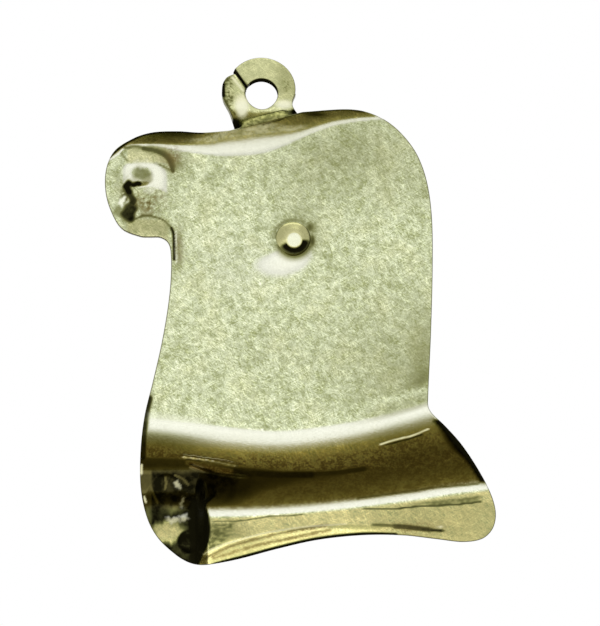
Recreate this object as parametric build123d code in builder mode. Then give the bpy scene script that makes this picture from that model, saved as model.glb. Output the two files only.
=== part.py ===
# A small hanging charm stamped from sheet metal in the form of an unrolled scroll.
# Millimetres, +Z up, hanging as worn. The photographed face looks towards -Y.
# The origin is the centre of the hole in the hanging loop.
import math
import os

from build123d import *

os.makedirs("parts", exist_ok=True)

# Sheet of the scroll, thickness measured along Y
sheet_thickness = 0.45
field_y = 0.10

# Outline of the scroll, seen from the front as X, Z, a chain of arcs: every second point is an arc's middle
seam_left = (-1.66, -1.86)
seam_right = (2.08, -0.92)
top_left_edge = [(-3.00, -1.97), (-4.30, -1.93), (-5.60, -1.98), (-6.60, -2.27)]
curl_edge = [(-7.55, -2.88), (-8.00, -3.75), (-8.06, -4.90), (-7.75, -5.98), (-7.15, -6.90), (-6.20, -7.30)]
notch_edge = [(-5.70, -7.33), (-5.20, -7.34), (-4.82, -7.56), (-4.66, -8.00)]
left_edge = [(-4.64, -9.30), (-4.78, -10.80), (-5.10, -12.70), (-5.55, -14.70), (-5.98, -16.50), (-6.18, -18.30)]
left_end_edge = [(-6.16, -20.20), (-5.83, -21.70), (-5.28, -22.72), (-4.40, -23.58), (-3.75, -24.00), (-3.15, -24.16)]
bottom_edge = [(-2.50, -24.10), (-1.10, -23.80), (0.95, -23.26), (3.00, -22.81), (5.30, -22.57), (7.40, -22.58)]
right_foot_edge = [(9.20, -22.78), (10.54, -22.92), (11.50, -22.75), (12.05, -22.22)]
flare_edge = [(12.23, -21.40), (11.97, -20.40), (11.34, -19.24), (10.41, -17.97), (9.51, -17.02), (8.80, -16.36)]
right_edge = [(8.60, -16.05), (8.56, -15.70), (8.72, -12.10), (8.81, -8.50), (8.76, -6.10), (8.50, -4.35)]
shoulder_edge = [(8.00, -3.00), (7.22, -1.95), (6.35, -1.24), (5.30, -0.83), (4.20, -0.74)]

# Flange bent forward along the top edge: the line where it starts, and half the height that its bend takes there
flange_start = [(-9.00, -3.95), (-7.66, -3.36), (-6.84, -2.80), (-5.71, -2.68), (-4.17, -2.96), (-2.64, -3.20),
                (-2.00, -3.28), (-1.00, -3.28), (0.00, -3.18), (1.00, -2.82), (2.00, -2.33), (3.00, -1.87), (3.77, -1.60),
                (5.06, -1.36), (6.08, -1.27), (7.20, -1.12), (13.00, -0.70)]
flange_bend = [(-9.00, 0.22), (-6.84, 0.24), (-5.71, 0.28), (-4.17, 0.45), (-2.64, 0.70), (-2.00, 0.92), (-1.00, 1.05),
               (0.00, 1.10), (1.00, 0.83), (2.00, 0.52), (3.00, 0.36), (3.77, 0.30), (5.06, 0.24), (6.08, 0.22), (13.00, 0.22)]
flange_slope = 0.90
flange_reach = 2.40

# Roll along the lower edge, hollow towards the front
roll_crease = [(-9.00, -16.60), (-6.30, -16.35), (-4.40, -16.50), (-1.60, -16.85), (0.80, -17.05), (3.00, -16.85),
               (5.50, -16.40), (7.60, -15.85), (9.00, -15.45), (13.00, -15.00)]
roll_floor = [(-9.00, -21.60), (-2.40, -21.70), (2.00, -21.50), (5.00, -21.20), (8.00, -20.83), (10.00, -20.52),
              (13.00, -20.15)]
roll_steepest_share = 0.55
roll_slope = 0.90
roll_lip_gain = [(-9.00, 0.44), (3.50, 0.44), (6.00, 0.34), (9.00, 0.26), (13.00, 0.24)]
roll_lip_reach = 3.00

# Rolled end at the lower left, standing forward of the roll
end_cap_rise = 1.10
end_cap_right = -2.65
end_cap_wall = 0.80
end_cap_top = -19.00
end_cap_fade = 1.60

# Curled corner at the upper left, a low dome
curl_x = -6.25
curl_z = -4.60
curl_half_width = 1.90
curl_half_height = 2.40
curl_rise = 0.26

# Rivet through a raised boss
rivet_x = 1.62
rivet_z = -7.44
rivet_shank_radius = 0.35
rivet_clearance = 0.03
rivet_dome_radius = 0.78
rivet_dome_height = 0.46
rivet_back_radius = 0.90
rivet_back_height = 0.30
boss_margin = 0.12
boss_rise = 0.28
boss_slope_angle = 50.0

# Hanging loop, a flat split ring leaning back on a foot behind the flange, as X and height along the ring
loop_thickness = 0.45
loop_lean = 18.0
loop_hole_radius = 0.83
loop_right = (1.75, 0.00)
loop_top = (0.02, 2.02)
jaw_corner = (-1.36, 1.38)
prong_tip = (-1.33, 1.07)
prong_corner = (-1.83, 0.84)
prong_edge = [(-2.06, 0.36), (-1.98, -0.32), (-1.64, -0.98), (-1.36, -1.62)]
neck_right = [(1.60, -0.40), (1.62, -0.70), (1.95, -1.05)]
split_outer = (-1.47, 1.40)
split_inner = (-0.72, 0.31)
split_gap = 0.15
hinge_gap = 0.02
foot_bottom = -2.75
neck_bend = 0.40
neck_height = 1.20
solder_film = 0.07
solder_height = 0.12
solder_set_back = 0.18


def along(points, x):
    """Height of a smooth line through points at x, with a steady slope at each point."""
    last = len(points) - 2
    k = 0
    while k < last and x > points[k + 1][0]:
        k += 1
    x0, z0 = points[k]
    x1, z1 = points[k + 1]
    before = points[max(k - 1, 0)]
    after = points[min(k + 2, last + 1)]
    span = x1 - x0
    slope_0 = (z1 - before[1]) / (x1 - before[0])
    slope_1 = (after[1] - z0) / (after[0] - x0)
    t = (x - x0) / span
    rest = 1 - t
    ends = z0 * (1 + 2 * t) * rest * rest + z1 * (3 - 2 * t) * t * t
    return ends + span * t * rest * (slope_0 * rest - slope_1 * t)


def smooth(t):
    """Ease from 0 to 1."""
    t = min(max(t, 0.0), 1.0)
    return t * t * (3 - 2 * t)


def bend(u, half_width):
    """A straight slope of 1 after u = 0, bent round over half_width each side."""
    if u <= -half_width:
        return 0.0
    if u >= half_width:
        return u
    return (u + half_width) ** 2 / (4 * half_width)


def roll_rise(x, z):
    """Depth of the lower roll: steeper down to its middle, quickly level at its floor, then up to the edge."""
    top = along(roll_crease, x)
    floor = along(roll_floor, x)
    if z >= top:
        return 0.0
    middle = top + (floor - top) * roll_steepest_share
    upper = top - middle
    lower = middle - floor
    if z >= middle:
        return -roll_slope * (top - z) ** 2 / (2 * upper)
    if z >= floor:
        t = (middle - z) / lower
        return -roll_slope * (upper / 2 + lower * (t - t ** 3 / 3))
    return -roll_slope * (upper / 2 + lower * 2 / 3) + along(roll_lip_gain, x) * (floor - z) ** 2 / 2


def scroll_front(x, z):
    """Y of the scroll's front face: the flat field, less how far the relief stands towards the viewer."""
    width = along(flange_bend, x)
    rise = flange_slope * bend(z - along(flange_start, x) - width, width)
    rise += roll_rise(x, z)
    rise += end_cap_rise * smooth((end_cap_right - x) / end_cap_wall) * smooth((end_cap_top - z) / end_cap_fade)
    from_curl = ((x - curl_x) / curl_half_width) ** 2 + ((z - curl_z) / curl_half_height) ** 2
    rise += curl_rise * max(1 - from_curl, 0.0) ** 2
    return field_y - rise


def scroll_stations(x):
    """Heights where one section of the scroll takes its points, on its creases and between them."""
    start = along(flange_start, x)
    roll_top = along(roll_crease, x)
    floor = along(roll_floor, x)
    heights = [start + flange_reach * k / flange_step_count for k in range(flange_step_count, -2, -1)]
    heights += [curl_z, curl_z - curl_half_height / 2, curl_z - curl_half_height, (curl_z + roll_top) / 2]
    span = floor - roll_top
    heights += [roll_top + span * k / roll_step_count for k in range(roll_step_count + 1)]
    return heights + [floor - roll_lip_reach / 2, floor - roll_lip_reach]


def seam_z(x):
    """Height of the straight stretch of the flange's edge that the loop's foot passes behind."""
    return seam_left[1] + (seam_right[1] - seam_left[1]) * (x - seam_left[0]) / (seam_right[0] - seam_left[0])


def loop_front(x, z):
    """Y of the loop's front face: along the back of the flange and on past its edge, then bent back into the ring."""
    foot = scroll_front(x, z) + sheet_thickness + solder_film
    ring = z * math.tan(lean) - loop_depth / 2
    return ring + bend(foot - ring, neck_bend)


def loop_stations(x):
    """Heights where one section of the loop's sheet takes its points."""
    seam = seam_z(x)
    ring_top = loop_top[1] + loop_thickness
    heights = [ring_top, (ring_top + seam + neck_height) / 2]
    heights += [seam + neck_height * k / neck_step_count for k in range(neck_step_count, -1, -1)]
    return heights + [(seam + foot_bottom) / 2, foot_bottom - loop_thickness]


def spread(low, high, count):
    """Evenly spaced places from low to high."""
    return [low + (high - low) * k / (count - 1) for k in range(count)]


lean = math.radians(loop_lean)
loop_depth = loop_thickness / math.cos(lean)
flange_step_count = 5
roll_step_count = 6
neck_step_count = 6
through_depth = 6.0

# Stamped scroll: the formed sheet trimmed to its outline, with a boss for the rivet
outline = [seam_left] + top_left_edge + curl_edge + notch_edge + left_edge + left_end_edge + bottom_edge
outline += right_foot_edge + flare_edge + right_edge + shoulder_edge + [seam_right]
boss_radius = rivet_dome_radius + boss_margin
sheet_margin = 0.80
scroll_section_count = 30
outline_x = [point[0] for point in outline]
with BuildPart() as scroll_body:
    for x in spread(min(outline_x) - sheet_margin, max(outline_x) + sheet_margin, scroll_section_count):
        front = [(scroll_front(x, z), z) for z in scroll_stations(x)]
        back = [(y + sheet_thickness, z) for y, z in front]
        with BuildSketch(Plane.YZ.offset(x)):
            with BuildLine():
                Spline(front)
                Line(front[-1], back[-1])
                Spline(back)
                Line(back[0], front[0])
            make_face()
    loft()
    with BuildSketch(Plane.XZ):
        with BuildLine():
            for k in range(0, len(outline) - 1, 2):
                ThreePointArc(outline[k], outline[k + 1], outline[k + 2])
            Line(seam_right, seam_left)
        make_face()
    extrude(amount=through_depth, both=True, mode=Mode.INTERSECT)
    with BuildSketch(Plane.XZ.offset(-field_y - sheet_thickness / 2)):
        with Locations((rivet_x, rivet_z)):
            Circle(boss_radius + (boss_rise + sheet_thickness / 2) * math.tan(math.radians(boss_slope_angle)))
    extrude(amount=boss_rise + sheet_thickness / 2, taper=boss_slope_angle)
    with BuildSketch(Plane.XZ):
        with Locations((rivet_x, rivet_z)):
            Circle(rivet_shank_radius + rivet_clearance)
    extrude(amount=through_depth, both=True, mode=Mode.SUBTRACT)
scroll_body.part.label = "scroll_body"
export_step(scroll_body.part, "parts/scroll_body.step")

# Rivet: a dome on the boss, a shank through the sheet and a flatter head behind
boss_top = field_y - boss_rise
sheet_back = field_y + sheet_thickness + rivet_clearance
dome_crown = (rivet_x, boss_top - rivet_dome_height)
back_crown = (rivet_x, sheet_back + rivet_back_height)
with BuildPart() as center_rivet:
    with BuildSketch(Plane.XY.offset(rivet_z)):
        with BuildLine():
            Line(dome_crown, back_crown)
            TangentArc(back_crown, (rivet_x + rivet_back_radius, sheet_back), tangent=(1, 0))
            Polyline((rivet_x + rivet_back_radius, sheet_back), (rivet_x + rivet_shank_radius, sheet_back),
                     (rivet_x + rivet_shank_radius, boss_top), (rivet_x + rivet_dome_radius, boss_top))
            TangentArc(dome_crown, (rivet_x + rivet_dome_radius, boss_top), tangent=(1, 0))
        make_face()
    revolve(axis=Axis((rivet_x, 0, rivet_z), (0, 1, 0)))
center_rivet.part.label = "center_rivet"
export_step(center_rivet.part, "parts/center_rivet.step")

# Loop sheet: foot, neck and ring in one strip, with the hole and the slit cut through it
ring_plane = Plane(origin=(0, 0, 0), x_dir=(1, 0, 0), z_dir=(0, -math.cos(lean), math.sin(lean)))
foot_left = prong_edge[-1][0]
foot_right = neck_right[-1][0]
loop_section_count = 10
split_run = (split_inner[0] - split_outer[0], split_inner[1] - split_outer[1])
split_angle = math.degrees(math.atan2(split_run[1], split_run[0]))
split_middle = ((split_inner[0] + split_outer[0]) / 2, (split_inner[1] + split_outer[1]) / 2)
split_far = (split_outer[0] - split_run[0], split_outer[1] - split_run[1])
jaw_reach = 2 * loop_top[1]
with BuildPart() as loop_strip:
    for x in spread(prong_edge[0][0] - loop_thickness, loop_right[0] + loop_thickness, loop_section_count):
        front = [(loop_front(x, z), z) for z in loop_stations(x)]
        back = [(y + loop_depth, z) for y, z in front]
        with BuildSketch(Plane.YZ.offset(x)):
            with BuildLine():
                Spline(front)
                Line(front[-1], back[-1])
                Spline(back)
                Line(back[0], front[0])
            make_face()
    loft()
    with BuildSketch(ring_plane):
        with BuildLine():
            ThreePointArc(loop_right, loop_top, jaw_corner)
            Polyline(jaw_corner, prong_tip, prong_corner)
            Spline([prong_corner] + prong_edge)
            Polyline(prong_edge[-1], (foot_left, foot_bottom), (foot_right, foot_bottom), neck_right[-1])
            Spline(neck_right[::-1] + [loop_right])
        make_face()
        Circle(loop_hole_radius, mode=Mode.SUBTRACT)
        with Locations(Location(split_middle, split_angle)):
            Rectangle(math.hypot(*split_run) * 2, split_gap, mode=Mode.SUBTRACT)
    extrude(amount=through_depth, both=True, mode=Mode.INTERSECT)


def jaw_zone(floor):
    """The part of the ring's plane above floor and to the right of the slit."""
    return [(0, floor), (jaw_reach, floor), (jaw_reach, jaw_reach), split_far, split_inner]


# Fixed part of the loop: foot, neck and the prong on the left of the slit
with BuildPart() as hanging_loop:
    add(loop_strip.part)
    with BuildSketch(ring_plane):
        Polygon(jaw_zone(0.0), align=None)
    extrude(amount=through_depth, both=True, mode=Mode.SUBTRACT)
hanging_loop.part.label = "hanging_loop"
export_step(hanging_loop.part, "parts/hanging_loop.step")

# Free arm of the loop, which twists out of the ring's plane at its right-hand root
with BuildPart() as loop_jaw:
    add(loop_strip.part)
    with BuildSketch(ring_plane):
        Polygon(jaw_zone(hinge_gap), align=None)
    extrude(amount=through_depth, both=True, mode=Mode.INTERSECT)
loop_jaw.part.label = "loop_jaw"
export_step(loop_jaw.part, "parts/loop_jaw.step")

# Solder: a wedge on the flange's cut edge that runs up the front of the neck
solder_section_count = 8
solder_inset = 0.10
solder_step_count = 4
with BuildPart() as solder_seam:
    for x in spread(foot_left + solder_inset, foot_right - solder_inset, solder_section_count):
        low = seam_z(x) + solder_film
        heights = spread(low, low + solder_height, solder_step_count)
        behind = [(loop_front(x, z) - solder_film, z) for z in heights]
        edge = (scroll_front(x, seam_z(x)) + solder_set_back, low)
        with BuildSketch(Plane.YZ.offset(x)):
            with BuildLine():
                Spline(behind)
                Line(behind[-1], edge)
                Line(edge, behind[0])
            make_face()
    loft()
solder_seam.part.label = "solder_seam"
export_step(solder_seam.part, "parts/solder_seam.step")
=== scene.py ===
import math

import bmesh
import bpy
import numpy as np
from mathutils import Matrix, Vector


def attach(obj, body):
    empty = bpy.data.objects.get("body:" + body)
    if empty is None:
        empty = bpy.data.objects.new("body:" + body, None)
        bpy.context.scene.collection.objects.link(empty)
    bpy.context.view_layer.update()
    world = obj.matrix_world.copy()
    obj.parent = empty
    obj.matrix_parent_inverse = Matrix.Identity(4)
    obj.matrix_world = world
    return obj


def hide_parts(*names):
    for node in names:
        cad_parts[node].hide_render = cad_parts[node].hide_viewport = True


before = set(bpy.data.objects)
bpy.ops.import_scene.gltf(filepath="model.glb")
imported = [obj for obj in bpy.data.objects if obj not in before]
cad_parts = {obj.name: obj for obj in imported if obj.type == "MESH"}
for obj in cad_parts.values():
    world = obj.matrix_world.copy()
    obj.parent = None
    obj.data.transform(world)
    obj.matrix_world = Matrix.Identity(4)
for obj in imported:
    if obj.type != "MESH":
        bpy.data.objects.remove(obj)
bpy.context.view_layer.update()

# Scroll body: one blank of thin brass sheet, stamped hollow towards the viewer.
# Its top edge is bent forward as a flange, its foot is a rolled trough, its two left corners are curled ends.
# It carries the other pieces. All sizes here are millimetres, seen from the front as X and Z.
sheet_thickness = 0.45
sheet_rim = 0.045
field_y = 0.10
front_limit, back_limit = -0.67, 3.255
flange_slope, roll_slope = 0.90, 0.90
roll_wall_share = 0.55
lip_bend = 1.15
rolled_end_rise = 1.10
curl_fold_rise = 0.20
outline_points = [
    (-1.66, -1.86), (-3.00, -1.97), (-4.30, -1.93), (-5.60, -1.98), (-6.60, -2.27),
    (-7.53, -2.88), (-7.955, -3.75), (-8.01, -4.90), (-7.72, -5.98), (-7.15, -6.90), (-6.20, -7.30),
    (-5.70, -7.33), (-5.20, -7.34), (-4.82, -7.56), (-4.66, -8.00),
    (-4.64, -9.30), (-4.78, -10.80), (-5.10, -12.70), (-5.55, -14.70), (-5.98, -16.50), (-6.18, -18.30),
    (-6.16, -20.20), (-5.83, -21.70), (-5.28, -22.72), (-4.40, -23.56), (-3.75, -23.96), (-3.15, -24.11),
    (-2.50, -24.07), (-1.10, -23.80), (0.95, -23.26), (3.00, -22.81), (5.30, -22.57), (7.40, -22.58),
    (9.20, -22.78), (10.54, -22.92), (11.50, -22.75), (12.05, -22.22),
    (12.22, -21.40), (11.97, -20.40), (11.34, -19.24), (10.41, -17.97), (9.51, -17.02), (8.80, -16.36),
    (8.60, -16.05), (8.56, -15.70), (8.72, -12.10), (8.81, -8.50), (8.76, -6.10), (8.50, -4.35),
    (8.00, -3.00), (7.22, -1.95), (6.35, -1.24), (5.30, -0.83), (4.20, -0.74), (2.08, -0.92)]
flange_start = [
    (-9.00, -3.95), (-7.66, -3.36), (-6.84, -2.80), (-5.71, -2.68), (-4.17, -2.96), (-2.64, -3.20),
    (-2.00, -3.28), (-1.00, -3.28), (0.00, -3.18), (1.00, -2.82), (2.00, -2.33), (3.00, -1.87), (3.77, -1.60),
    (5.06, -1.36), (6.08, -1.27), (7.20, -1.12), (13.00, -0.70)]
flange_bend = [
    (-9.00, 0.22), (-6.84, 0.24), (-5.71, 0.28), (-4.17, 0.45), (-2.64, 0.70), (-2.00, 0.92), (-1.00, 1.05),
    (0.00, 1.10), (1.00, 0.83), (2.00, 0.52), (3.00, 0.36), (3.77, 0.30), (5.06, 0.24), (6.08, 0.22), (13.00, 0.22)]
roll_crease = [
    (-9.00, -16.60), (-6.30, -16.35), (-4.40, -16.50), (-1.60, -16.85), (0.80, -17.05), (3.00, -16.85),
    (5.50, -16.40), (7.60, -15.85), (9.00, -15.45), (13.00, -15.00)]
roll_floor = [
    (-9.00, -21.60), (-2.40, -21.70), (2.00, -21.50), (5.00, -21.20), (8.00, -20.83), (10.00, -20.52),
    (13.00, -20.15)]
lip_gain = [(-9.00, 0.44), (3.50, 0.44), (6.00, 0.34), (9.00, 0.26), (13.00, 0.24)]
lip_crease = [
    (-9.00, -26.00), (-2.40, -23.34), (-1.50, -22.95), (0.00, -22.52), (1.00, -22.33), (2.00, -22.15),
    (3.00, -22.05), (4.00, -21.95), (6.00, -21.95), (8.10, -22.10), (9.67, -22.40), (13.00, -23.40)]
curl_crest = [
    (-8.4, -3.80), (-7.2, -3.58), (-6.6, -3.49), (-6.0, -3.47), (-5.5, -3.52), (-5.0, -3.74), (-4.6, -4.00),
    (-4.0, -4.40)]
curl_lip = [
    (-9.0, -6.60), (-7.2, -6.75), (-6.9, -6.62), (-6.5, -6.42), (-6.0, -6.32), (-5.5, -6.33), (-5.0, -6.50),
    (-4.6, -6.85), (-4.4, -7.60), (-4.0, -9.0)]
cut_lines = [
    [(-4.00, -18.52), (-3.50, -18.58), (-2.20, -18.78), (-1.20, -18.97)],
    [(-3.60, -19.02), (-3.00, -19.24), (-2.50, -19.36), (-1.50, -19.50), (-0.80, -19.58)]]
dent_x, dent_z = -3.65, -22.92
rivet_x, rivet_z = 1.62, -7.44


def along(points, x):
    """Height at x of a smooth line through points that run from left to right."""
    p = np.array(points)
    low, high = np.maximum(np.arange(len(p)) - 1, 0), np.minimum(np.arange(len(p)) + 1, len(p) - 1)
    slope = (p[high, 1] - p[low, 1]) / (p[high, 0] - p[low, 0])
    k = np.clip(np.searchsorted(p[:, 0], x) - 1, 0, len(p) - 2)
    span = p[k + 1, 0] - p[k, 0]
    t = (x - p[k, 0]) / span
    ends = p[k, 1] * (1 + 2 * t) * (1 - t) ** 2 + p[k + 1, 1] * (3 - 2 * t) * t * t
    return ends + span * t * (1 - t) * (slope[k] * (1 - t) - slope[k + 1] * t)


def line_through(points, step):
    """Places about step apart along a smooth line through points in any direction."""
    p = np.array(points)
    length = np.concatenate([[0], np.cumsum(np.hypot(*np.diff(p, axis=0).T))])
    places = np.linspace(0, length[-1], int(length[-1] / step) + 2)
    return np.stack([along(np.stack([length, p[:, c]], axis=1), places) for c in (0, 1)], axis=1)


def apart(points, x, z):
    """How far each place is from a smooth line through points."""
    line = line_through(points, 0.04)
    return np.min(np.hypot(x[:, None] - line[:, 0], z[:, None] - line[:, 1]), axis=1)


def soft(t):
    """Ease from 0 to 1."""
    t = np.clip(t, 0, 1)
    return t * t * (3 - 2 * t)


def above(value, start, over):
    """0 up to start, then easing to 1 over the next stretch."""
    return soft((value - start) / over)


def below(value, start, over):
    """0 down to start, then easing to 1 over the next stretch downwards."""
    return soft((start - value) / over)


def most(*layers):
    """The strongest of several layers at each place."""
    return np.maximum.reduce(layers)


def bend(u, half_width):
    """A straight slope of 1 after u = 0, bent round over half_width each side."""
    return np.where(u >= half_width, u, np.maximum(u + half_width, 0) ** 2 / (4 * half_width))


def spot(x, z, at_x, at_z, reach_x, reach_z):
    """A soft round or oval place."""
    return np.exp(-((x - at_x) / reach_x) ** 2 - ((z - at_z) / reach_z) ** 2)


def patch(x, z, at_x, at_z, reach_x, reach_z):
    """A round or oval place that is even inside and fades out at one and a half times its reach."""
    return soft(1.5 - np.hypot((x - at_x) / reach_x, (z - at_z) / reach_z))


def stroke(points, x, z, reach):
    """A soft line through points, fading out at one and a half times its reach."""
    return soft(1.5 - apart(points, x, z) / reach)


def strokes(lines, x, z):
    """The strongest of several soft lines, each given by its strength, its reach and its points."""
    return most(*[strength * stroke(points, x, z, reach) for strength, reach, points in lines])


def mottled(x, z):
    """Uneven patches some tenths of a millimetre wide, from 0 to 1."""
    coarse = np.sin(9.1 * x + 2.3 * np.sin(6.7 * z)) * np.sin(10.3 * z + 2.1 * np.sin(5.9 * x))
    fine = np.sin(21.0 * x + 1.7 * np.sin(13.0 * z)) * np.sin(19.0 * z + 1.9 * np.sin(15.0 * x))
    return soft(0.5 + 0.5 * coarse + 0.4 * fine)


def ragged(x, z, pace=1.0):
    """The same places moved a little to and fro, so that what is drawn there gets a rough edge."""
    return (x + 0.06 * np.sin(11 * pace * z) + 0.03 * np.sin(29 * pace * z),
            z + 0.06 * np.sin(12 * pace * x) + 0.03 * np.sin(27 * pace * x))


def main_relief(x, z):
    """How far the pressed sheet stands towards the viewer: flange, roll with its lip, rolled end, curled corner."""
    width = along(flange_bend, x)
    rise = flange_slope * bend(z - along(flange_start, x) - width, width)
    rise = rise + 0.45 * bend(z + 2.50, 0.06) * below(x, -3.0, 1.5) * above(x, -6.9, 0.5)
    top, floor = along(roll_crease, x), along(roll_floor, x)
    middle = top + (floor - top) * roll_wall_share
    upper, lower = top - middle, middle - floor
    t = (middle - z) / lower
    wall = -roll_slope * np.maximum(top - z, 0) ** 2 / (2 * upper)
    bowl = -roll_slope * (upper / 2 + lower * (t - t ** 3 / 3))
    out = np.minimum(floor - z, lip_bend)
    lip = along(lip_gain, x) * (out ** 2 / 2 + out * (floor - z - out)) - roll_slope * (upper / 2 + lower * 2 / 3)
    rise = rise + np.where(z >= middle, wall, np.where(z >= floor, bowl, lip))
    rise = rise + rolled_end_rise * below(x, -2.65, 0.80) * below(z, -19.00, 1.60)
    crest = along(curl_crest, x)
    from_crest = np.where(z > crest, (z - crest) / 0.68, (crest - z) / 1.15)
    fold = below(x, -4.40, 1.0) * np.maximum(1.08 - np.hypot(from_crest, 0.08), 0)
    return rise + curl_fold_rise * fold * above(x, -7.35, 0.55)


def fine_relief(x, z):
    """The smaller forms: the curl's eye and lower lip, two dents, the boss and its swelling, cut lines, turned lip."""
    eye = np.hypot((x + 6.17) / 0.48, (z + 4.12) / 0.44)
    rise = 0.17 * np.clip(-3.72 - z, 0, 0.85) * below(eye, 1.55, 1.1)
    rise = rise - 0.10 * spot(x, z, -6.72, -6.10, 0.30, 0.45)
    under_lip = np.minimum(bend(along(curl_lip, x) - z, 0.05), 0.55)
    rise = rise + 0.30 * under_lip * below(x, -4.72, 0.80) * above(z, -8.6, 0.6)
    for depth, at_x, at_z, reach_x, reach_z in (
            (0.30, -4.85, -20.70, 1.05, 1.30), (0.20, dent_x, dent_z, 0.62, 0.62)):
        rise = rise - depth * np.maximum(1 - ((x - at_x) / reach_x) ** 2 - ((z - at_z) / reach_z) ** 2, 0)
    rise = rise + 0.20 * spot(x, z, rivet_x, rivet_z, 0.98, 0.98) + 0.13 * spot(x, z, 0.55, -8.05, 1.30, 1.00)
    for line in cut_lines:
        rise = rise - 0.06 * stroke(line, x, z, 0.07)
    return rise + 0.15 * bend(along(lip_crease, x) - z, 0.08)


def scroll_y(x, z):
    """Y of the scroll's front with all its relief."""
    return field_y - main_relief(x, z) - fine_relief(x, z)


def front_of_scroll(x, z):
    """Points on the front, kept behind the foremost place that the solid allows."""
    return np.stack([x, np.maximum(scroll_y(x, z), front_limit), z], axis=1)


def back_of_scroll(x, z):
    """Points on the back, which follows the larger forms only."""
    return np.stack([x, np.minimum(field_y + sheet_thickness - main_relief(x, z), back_limit), z], axis=1)


def finished(name, bm):
    """The millimetre mesh as a smooth object in metres."""
    for face in bm.faces:
        face.smooth = True
    bmesh.ops.scale(bm, vec=(0.001, 0.001, 0.001), verts=bm.verts[:])
    mesh = bpy.data.meshes.new(name)
    bm.to_mesh(mesh)
    bm.free()
    piece = bpy.data.objects.new(name, mesh)
    bpy.context.scene.collection.objects.link(piece)
    piece.modifiers.new("even_rims", "WEIGHTED_NORMAL").keep_sharp = True
    return piece


def formed_sheet(name, edge, columns, rows, thickness, front, back, rim, butt=lambda point: False):
    """A sheet cut to edge, divided and rounded at its rims while flat, then formed between front and back.

    Its faces keep the first material, and its cut walls and rims get the second. Rims that butt stay sharp.
    """
    border_width = 2.2 * rim
    bm = bmesh.new()
    blank = bm.faces.new([bm.verts.new((x, 0, z)) for x, z in edge])
    blank.normal_update()
    border = bmesh.ops.inset_region(bm, faces=[blank], thickness=border_width, use_boundary=True, use_even_offset=True)
    for face in border["faces"]:
        face.material_index = 1
    for axis, cuts in ((2, rows), (0, columns)):
        left = [face for face in bm.faces if face.material_index == 0]
        across = Vector((0, 0, 0))
        across[axis] = 1
        for place in sorted(cuts):
            parts = set(left)
            for face in left:
                parts.update(face.edges, face.verts)
            cut = bmesh.ops.bisect_plane(bm, geom=list(parts), dist=1e-6, plane_co=across * place, plane_no=across)
            left = [part for part in cut["geom"] if isinstance(part, bmesh.types.BMFace)
                    and max(vert.co[axis] for vert in part.verts) > place + 1e-5]
    for face in bm.faces:
        face.material_index = 0
    copied = bmesh.ops.extrude_face_region(bm, geom=bm.faces[:], use_keep_orig=True)["geom"]
    copied_verts = [part for part in copied if isinstance(part, bmesh.types.BMVert)]
    bmesh.ops.translate(bm, vec=(0, thickness, 0), verts=copied_verts)
    bmesh.ops.recalc_face_normals(bm, faces=bm.faces[:])
    for face in bm.faces:
        if abs(face.normal.y) < 0.5:
            face.material_index = 1
    rims = [e for e in bm.edges if len({face.material_index for face in e.link_faces}) == 2]
    rims = [e for e in rims if not all(butt(vert.co) for vert in e.verts)]
    turned = bmesh.ops.bevel(bm, geom=rims, offset=rim, offset_type="OFFSET", segments=3, profile=0.5,
                             affect="EDGES", material=-1)["faces"]
    for face in turned:
        face.normal_update()
        face.material_index = 1 if abs(face.normal.y) < 0.999 else 0
    for e in bm.edges:
        e.smooth = not all(butt(vert.co) for vert in e.verts)
    flat = np.array([vert.co for vert in bm.verts])
    near, far = front(flat[:, 0], flat[:, 2]), back(flat[:, 0], flat[:, 2])
    for vert, point in zip(bm.verts, near + (far - near) * flat[:, 1:2] / thickness):
        vert.co = point
    return finished(name, bm)


def mark(piece, **marks):
    """Stores how warm each point is, and how much painted highlight, tarnish and painted shade, copper tint, and wear
    and painted glint it has, from its place in millimetres.
    """
    points = np.array([vert.co for vert in piece.data.vertices]) * 1000
    for key, value in marks.items():
        layer = piece.data.attributes.new(key, "FLOAT", "POINT")
        layer.data.foreach_set("value", np.clip(value(*points.T), 0, 1).astype(np.float32))


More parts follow.
